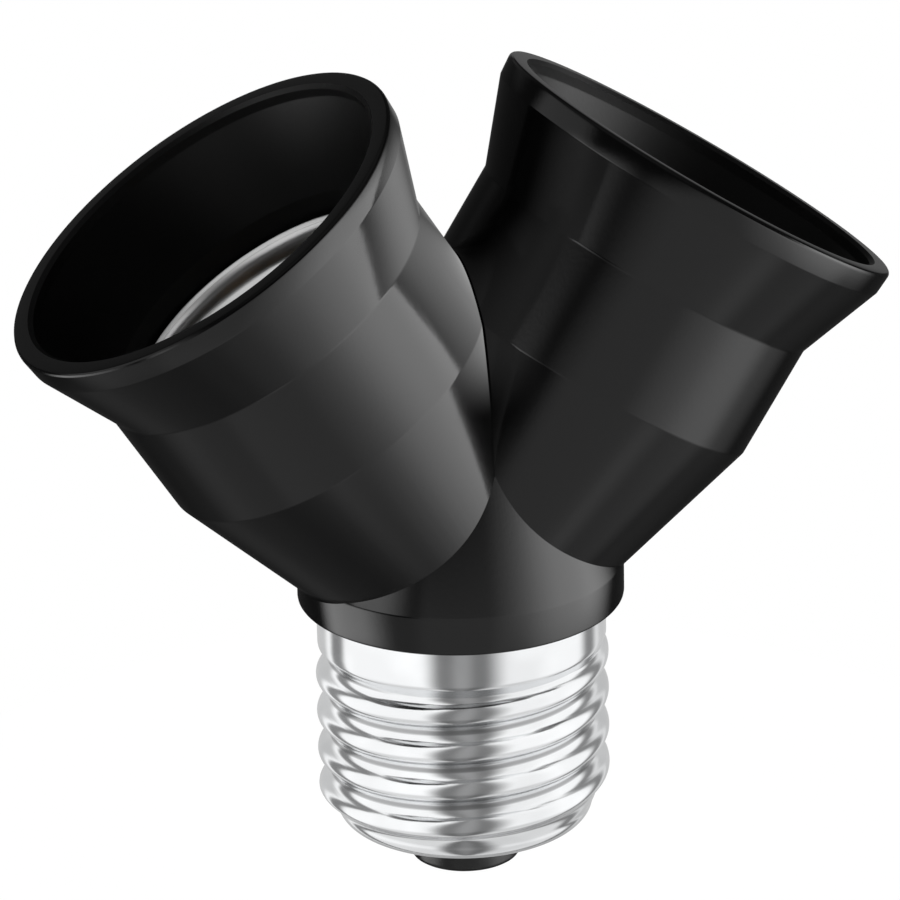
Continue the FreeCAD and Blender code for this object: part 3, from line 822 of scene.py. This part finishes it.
TIP = (
    (3.45, CONTACT_SEAT, 0),
    (3.5, TIP_END, 0),
    (TIP_R, TIP_END, 0.5),
    (TIP_R, TIP_SHOULDER, 0),
    (PLUG_R - 1.0, PLUG_FOOT - 1.0, 0),
    (PLUG_R, PLUG_FOOT, 0),
    (PLUG_R, PLUG_TOP, 0),
)
tip = turned("cap_tip", TIP, 128)
hole = turned("hole", ((CONTACT_HOLE_R, TIP_END - 0.6, 0), (CONTACT_HOLE_R, PLUG_TOP + 0.6, 0)), 48)
combined(tip, hole, "DIFFERENCE")
finished(tip, insulator_finish, "cap_insulator", 30)


# %% [markdown]
# ## The socket shells
# The same thread, a little looser and gauged on the inside, where the lamp goes. The lip is rolled
# outwards over a ledge in the cup. A narrow groove runs round it and leaves a small bead at its
# edge, and the two draw the thin bright lines in the open mouth. The foot is turned in to a flange,
# which two screws hold down.


# %% Roll both shells
LIP_ROLL_R = 0.9
LIP_GROOVE_R = LIP_ROLL_R - 0.2
LIP_ROLL = math.radians(70)
FLANGE_TOP = SHELL_SEAT + SHEET
FLANGE_HOLE_R = SCREW_PLACE - SCREW_HEAD_R
SHELL_SCREW_HOLE_R = 0.74

lip_centre = (LIP_R + LIP_ROLL_R, LIP_TOP - LIP_ROLL_R * math.sin(LIP_ROLL))
foot_centre = (FOOT_R - SHELL_CORNER_R, FLANGE_TOP + SHELL_CORNER_R)
# The bead at the lip's edge, the groove, the rest of the roll, the thread, and the flange
shell_line = arc(lip_centre, LIP_ROLL_R, 110, 124, 3)
shell_line += arc(lip_centre, LIP_GROOVE_R, 129, 133, 2)
shell_line += arc(lip_centre, LIP_ROLL_R, 138, 180, 7)
shell_line += even_steps((LIP_R, lip_centre[1]), (FOOT_R, foot_centre[1]), step=0.15)
shell_line += arc(foot_centre, SHELL_CORNER_R, 0, -90, 6)[1:]
shell_line += even_steps((foot_centre[0], FLANGE_TOP), (FLANGE_HOLE_R, FLANGE_TOP), step=0.6)

for side in ("left", "right"):
    shell = sleeve("threaded_shell_" + side, shell_line)
    roll_thread(
        shell,
        top=lip_centre[1],
        bottom=foot_centre[1],
        fade=1.2,
        mid_r=SHELL_MID_R,
        crest_z=SHELL_SEAT + SHELL_HEIGHT / 2,
        crest_side=0,
    )
    sheet_thickness(shell, facing_in=True)
    screw_holes(shell, SHELL_SCREW_HOLE_R, SHELL_SEAT - OVERCUT, SHELL_SEAT + OVERCUT)
    stand(shell, side)
    finished(shell, shell_finish, "socket_shell_" + side, 40)


# %% [markdown]
# ## The contact leaves
# A leaf is one strip of spring bronze. Its foot is riveted down, and its free end carries the
# contact and gives when a lamp is screwed in. Its own mesh has the right shape but hardly any
# points along it, so a copy is merged and cut across into short lengths.


# %% Cut the leaves into short lengths
LEAF_LEVEL = 18.3
FIRST_CUT = 5.6
CUT_STEP = 0.3
CUTS = 12


def socket_point(x, side):
    """Where a point at the leaf's level, x millimetres from the socket's axis, is on the part."""
    return socket_place(side) @ Vector((x, 0, LEAF_LEVEL)) * MM


for side in ("left", "right"):
    leaf = bpy.data.objects.new("bent_leaf_" + side, nodes["contact_leaf_" + side].data.copy())
    bpy.context.scene.collection.objects.link(leaf)
    edit(leaf, "VERT")
    bpy.ops.mesh.select_all(action="SELECT")
    bpy.ops.mesh.remove_doubles(threshold=1e-7)
    along = (socket_point(1, side) - socket_point(0, side)).normalized()
    for i in range(CUTS):
        bpy.ops.mesh.select_all(action="SELECT")
        bpy.ops.mesh.bisect(plane_co=socket_point(FIRST_CUT - CUT_STEP * i, side), plane_no=along)
    close_edit(leaf)
    leaf.data.materials.clear()
    leaf.data.materials.append(bronze_finish)
    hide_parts("contact_leaf_" + side)
    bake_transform(leaf)
    print(leaf.name, "faces:", len(leaf.data.polygons))


# %% [markdown]
# ## Pieces that keep their mesh
# The bases, screws, rivets, contacts, tags, straps and wires are right as they are. They could be
# made again with rounder edges, but they lie deep in the cups or inside the moulding, so a finish
# is what they need. A left and a right piece are the same, so the side is dropped from the name
# and one row dresses both. The hidden nodes get theirs too, so that no plain piece is left.


# %% Dress the nodes
node_finishes = {
    "housing": housing_finish,
    "cap_shell": plate_finish,
    "cap_insulator": insulator_finish,
    "cap_contact": brass_finish,
    "socket_shell": shell_finish,
    "socket_base": base_finish,
    "fixing_screws": steel_finish,
    "contact_leaf": bronze_finish,
    "contact_button": brass_finish,
    "leaf_rivet": brass_finish,
    "live_tag": brass_finish,
    "shell_strap": bronze_finish,
    "live_lead": live_finish,
    "neutral_lead": neutral_finish,
}
for node_name, node in nodes.items():
    piece_name = node_name.replace("_left", "").replace("_right", "")
    node.data.materials.clear()
    node.data.materials.append(node_finishes[piece_name])
print("nodes dressed:", len(nodes), "with", len(node_finishes), "rows")


# %% [markdown]
# ## Camera
# The camera was fitted to the outlines in the photograph, so it is given as the angles and the
# distance that the fit found. The lens is long: the two mouths are nearly the same size, though
# one of them is nearer. The roll is there because the photograph isn't quite level.


# %% Place the camera
CAMERA_AZIMUTH = math.radians(-16.713)
CAMERA_ELEVATION = math.radians(21.403)
CAMERA_ROLL = math.radians(-1.162)
CAMERA_DISTANCE = 0.52019
CAMERA_TARGET = Vector((-0.000677, 0.000203, 0.013634))
LENS_MM = 235.1


def camera_place():
    """The camera's matrix: it looks at its target from the two angles, and is then rolled."""
    level = math.cos(CAMERA_ELEVATION)
    back = Vector((
        math.sin(CAMERA_AZIMUTH) * level,
        -math.cos(CAMERA_AZIMUTH) * level,
        math.sin(CAMERA_ELEVATION),
    ))
    right = (-back).cross(Vector((0, 0, 1))).normalized()
    up = right.cross(-back)
    rolled_right = right * math.cos(CAMERA_ROLL) + up * math.sin(CAMERA_ROLL)
    rolled_up = up * math.cos(CAMERA_ROLL) - right * math.sin(CAMERA_ROLL)
    turn = Matrix((rolled_right, rolled_up, back)).transposed().to_4x4()
    turn.translation = CAMERA_TARGET + back * CAMERA_DISTANCE
    return turn


camera_data = bpy.data.cameras.new("camera")
camera_data.lens = LENS_MM
camera_data.clip_start = 0.01
camera = bpy.data.objects.new("camera", camera_data)
camera.matrix_world = camera_place()
bpy.context.scene.collection.objects.link(camera)
bpy.context.scene.camera = camera
print("the camera stands at", [round(v, 3) for v in camera.matrix_world.translation])


# %% [markdown]
# ## Floor
# The photograph's ground is as white as its background, with hardly a shadow. A floor of lit grey
# paper would turn the background grey, so the camera sees it mostly as white light, with a little
# of the paper and its shadow left. Reflected rays pass through it to the tents, so the part's
# underside mirrors the studio.


# %% Lay the floor
FLOOR_R = 0.055
FLOOR_Z = -0.0257
PAPER = 0.8
WHITE_SHARE = 0.92
WHITE_LEVEL = 1.08


def pale_floor():
    """White paper for the camera, and nothing at all for reflected rays."""
    finish = Finish("pale_floor")
    to_camera = finish.node("ShaderNodeLightPath", {}, {}, "Is Camera Ray")
    reflected = finish.node("ShaderNodeLightPath", {}, {}, "Is Glossy Ray")
    paper = finish.node("ShaderNodeBsdfDiffuse", {}, {"Color": (PAPER, PAPER, PAPER, 1)})
    light = finish.node("ShaderNodeEmission", {}, {"Strength": WHITE_LEVEL})
    clear = finish.node("ShaderNodeBsdfTransparent", {}, {})
    white = finish.node("ShaderNodeMixShader", {}, {0: to_camera * WHITE_SHARE, 1: paper, 2: light})
    return finish.end(finish.node("ShaderNodeMixShader", {}, {0: reflected, 1: white, 2: clear}))


bpy.ops.object.select_all(action="DESELECT")
bpy.ops.mesh.primitive_circle_add(vertices=96, radius=FLOOR_R, fill_type="NGON", location=(0, 0, FLOOR_Z))
floor = bpy.context.object
floor.name = "floor"
floor.data.materials.append(pale_floor())
floor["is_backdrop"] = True
print("the floor lies", round((cad_bounds[0][2] - FLOOR_Z) / MM, 2), "mm under the tip")


# %% [markdown]
# ## Studio
# A glossy black moulding shows hardly any colour of its own: what it shows is the studio. Bright
# plate shows the studio too, but thirty times stronger, so one set of lamps can't suit both. A
# photographer takes two pictures and joins them. Light linking does the same in one render: one
# light tent lights the metal, and a second one lights all the rest. A tent is a cylinder about the
# part, and its material says how bright it is in each direction. The camera stands at angle 0. The
# inner tent is see-through, so that the outer one shines in through it.


# %% Directions on a tent
def tent_directions(finish):
    """Degrees round from the camera's side, positive to its right, and degrees above the horizon."""
    x, y, z = finish.place().parts()
    towards = x * math.sin(CAMERA_AZIMUTH) - y * math.cos(CAMERA_AZIMUTH)
    sideways = x * math.cos(CAMERA_AZIMUTH) + y * math.sin(CAMERA_AZIMUTH)
    level = (x * x + y * y).maths("SQRT")
    around = sideways.maths("ARCTAN2", towards) * math.degrees(1)
    above = z.maths("ARCTAN2", level) * math.degrees(1)
    return around, above


def within(angle, low, high):
    """1 between two edges, each given as the angles where its fade starts and ends."""
    return angle.between(*low) * (1 - angle.between(*high))


print("angle 0 lies", round(-math.degrees(CAMERA_AZIMUTH), 1), "degrees to the left of square on")


# %% A tent that lights chosen pieces
def lights_only(light, pieces):
    """Let a lamp or a tent light some pieces and pass the others by."""
    receivers = bpy.data.collections.new(light.name + " lights")
    for piece in pieces:
        receivers.objects.link(piece)
    light.light_linking.receiver_collection = receivers
    print(light.name, "lights", len(pieces), "pieces")


def light_tent(name, radius, height, brightness, pieces, see_through):
    """brightness is a function of the two directions, and gives what the tent shines with."""
    bpy.ops.object.select_all(action="DESELECT")
    bpy.ops.mesh.primitive_cylinder_add(vertices=72, radius=radius, depth=height)
    tent = bpy.context.object
    tent.name = name
    tent.visible_camera = False
    finish = Finish(name)
    shine = finish.node("ShaderNodeEmission", {}, {"Strength": brightness(*tent_directions(finish))})
    if see_through:
        clear = finish.node("ShaderNodeBsdfTransparent", {}, {})
        shine = finish.node("ShaderNodeAddShader", {}, {0: shine, 1: clear})
    tent.data.materials.append(finish.end(shine))
    lights_only(tent, pieces)
    tent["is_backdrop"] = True


# %% [markdown]
# ## The metal's tent
# Bright plate needs something to mirror, so its tent is white nearly all round and dimmer behind
# and below. A soft grey gap where the camera looks in draws the grey stripe down the middle of the
# cap, with a paler line in it, and a dark flag behind each side draws the cap's edges. Each term
# is a window of directions times how much it adds to or takes from the white.


# %% Light the metal
METAL_WORDS = ("screw_cap", "shell", "contact", "leaf", "strap", "tag", "rivet", "screws")


def metal_light(around, above):
    """White, less what the gap, the flags, the right side, the back and the ground take away."""
    gap = within(around, (-33, -16), (16, 38))
    middle = within(around, (-12, -2), (2, 12))
    left_flag = within(around, (-128, -121), (-110, -103))
    right_flag = within(around, (103, 116), (122, 136))
    right = within(around, (20, 34), (55, 78))
    behind = 1 - within(around, (-140, -128), (128, 140))
    low = 1 - above.between(-52, -30)
    white = 1.18 - gap * 0.96 + middle * 0.14 - (left_flag + right_flag) * 0.93
    return (white - right * 0.1 - behind * 0.56) * (1 - low * 0.3)


metal_pieces = []
other_pieces = []
for piece in bpy.data.objects:
    if piece.type == "MESH":
        is_metal = any(word in piece.name for word in METAL_WORDS)
        (metal_pieces if is_metal else other_pieces).append(piece)
light_tent("metal_tent", 0.2, 1.3, brightness=metal_light, pieces=metal_pieces, see_through=True)


# %% [markdown]
# ## The plastic's tent
# Black plastic needs a dark room with a few soft boxes, because each box draws one pale band on
# it. There is a strong box on the right that fades in from the front, a weaker one on the left
# and a small one above that. Fills from the front, from below and from high on the left are much
# weaker and keep the shaded sides from going black. Two very weak ones, at the back on the left
# and low behind, light the two rims.


# %% Light the plastic
def plastic_light(around, above):
    """The soft boxes, the fills and the light on the rims, over a very dim room."""

    def panel(sides, heights):
        return within(around, *sides) * within(above, *heights)

    edge = within(around, (80, 105), (150, 170)) * (1 - above.between(-45, -20))
    right = panel(((17, 76), (95, 135)), ((-64, -4), (8, 20))) * (1 - edge * 0.7)
    left = panel(((-120, -100), (-76, -46)), ((-44, -28), (-18, 0)))
    left_top = panel(((-84, -74), (-60, -28)), ((-2, 4), (12, 24)))
    left_high = panel(((-118, -105), (-74, -60)), ((4, 12), (30, 45)))
    front = panel(((-38, -22), (24, 50)), ((-84, -44), (4, 20)))
    low_front = panel(((-125, -80), (-38, -22)), ((-84, -44), (-20, -10)))
    low_right = panel(((10, 35), (80, 110)), ((-72, -60), (-50, -38)))
    left_rim = panel(((-175, -165), (-140, -125)), ((4, 14), (30, 45)))
    behind = 1 - within(around, (-178, -170), (158, 168))
    right_rim = behind * within(above, (-25, -14), (2, 10))
    low = 1 - above.between(-62, -38)
    top = above.between(40, 70)
    boxes = right * 3.4 + left * 2.2 + left_top * 1.8
    fills = front * 0.5 + left_high * 0.5 + low_front * 0.36 + low_right * 0.2
    rims = left_rim * 0.05 + right_rim * 0.13
    return boxes + fills + rims + low * 0.1 + top * 0.1 + 0.03


light_tent("plastic_tent", 0.8, 6, brightness=plastic_light, pieces=other_pieces, see_through=False)


# %% [markdown]
# ## Small lamps between the cups
# Seen at a flat angle, each cup's inner edge mirrors the other cup and goes black. A photographer
# puts a small soft light into such a gap. Area lights shine to one side only, so they stand back to
# back on the plane between the cups, above the crease, and each one fades towards the back.


# %% A lamp that shines to one side
LAMP_LOW = 0.0205
LAMP_HIGH = 0.049
LAMP_HALF_WIDTH = 0.018
OFF_THE_PLANE = 0.0001


def gap_lamp(name, facing, bright, dim, fade):
    """A lamp that goes from bright in front to dim behind, and is soft at its edges.

    facing is 1 for light to the left and -1 for light to the right. fade gives the two places,
    in metres from front to back, between which it turns from bright to dim.
    """
    height = LAMP_HIGH - LAMP_LOW
    width = 2 * LAMP_HALF_WIDTH
    bpy.ops.object.light_add(
        type="AREA",
        location=(-facing * OFF_THE_PLANE, 0, LAMP_LOW + height / 2),
        rotation=(0, facing * math.pi / 2, 0),
    )
    lamp = bpy.context.object
    lamp.name = name
    lamp.visible_camera = False
    lamp.data.shape = "RECTANGLE"
    lamp.data.size = height
    lamp.data.size_y = width
    lamp.data.energy = math.pi * height * width
    light = Finish(name, lamp.data)
    _, y, z = light.node("ShaderNodeNewGeometry", {}, {}, "Position").parts()
    front_edge = y.between(-LAMP_HALF_WIDTH, -LAMP_HALF_WIDTH + 0.0085)
    lower_edge = z.between(LAMP_LOW, LAMP_LOW + 0.0065)
    upper_edge = 1 - z.between(LAMP_HIGH - 0.005, LAMP_HIGH)
    strength = bright - y.between(*fade) * (bright - dim)
    soft_strength = strength * (front_edge * lower_edge * upper_edge)
    light.end(light.node("ShaderNodeEmission", {}, {"Strength": soft_strength}), "ShaderNodeOutputLight")
    lights_only(lamp, other_pieces)


gap_lamp("lamp_to_left", facing=1, bright=1.3, dim=0.12, fade=(-0.009, 0.003))
gap_lamp("lamp_to_right", facing=-1, bright=0.3, dim=0.0, fade=(-0.012, -0.002))


# %% [markdown]
# ## World
# The plastic's tent stands round everything, so no light of the world reaches the part. The camera
# looks through both tents, and what it sees behind them is the world: plain white.


# %% A white background
world = bpy.data.worlds.new("studio")
world.use_nodes = True
background = world.node_tree.nodes["Background"]
background.inputs["Color"].default_value = (1, 1, 1, 1)
background.inputs["Strength"].default_value = 1.0
bpy.context.scene.world = world
bpy.context.scene.view_settings.view_transform = "Standard"
print("the background's level:", background.inputs["Strength"].default_value)


# %% [markdown]
# ## Sizes and finish
# The imported model's box and the dressed part's box are both measured, and the largest difference
# between them is printed. The dressed part has to stay inside the imported model's box.


# %% Sizes and finish
visual_bounds = [list(corner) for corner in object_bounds()]
differences = [abs(a - b) for one, two in zip(cad_bounds, visual_bounds) for a, b in zip(one, two)]
print("the boxes differ by at most", round(max(differences) / MM, 3), "mm")
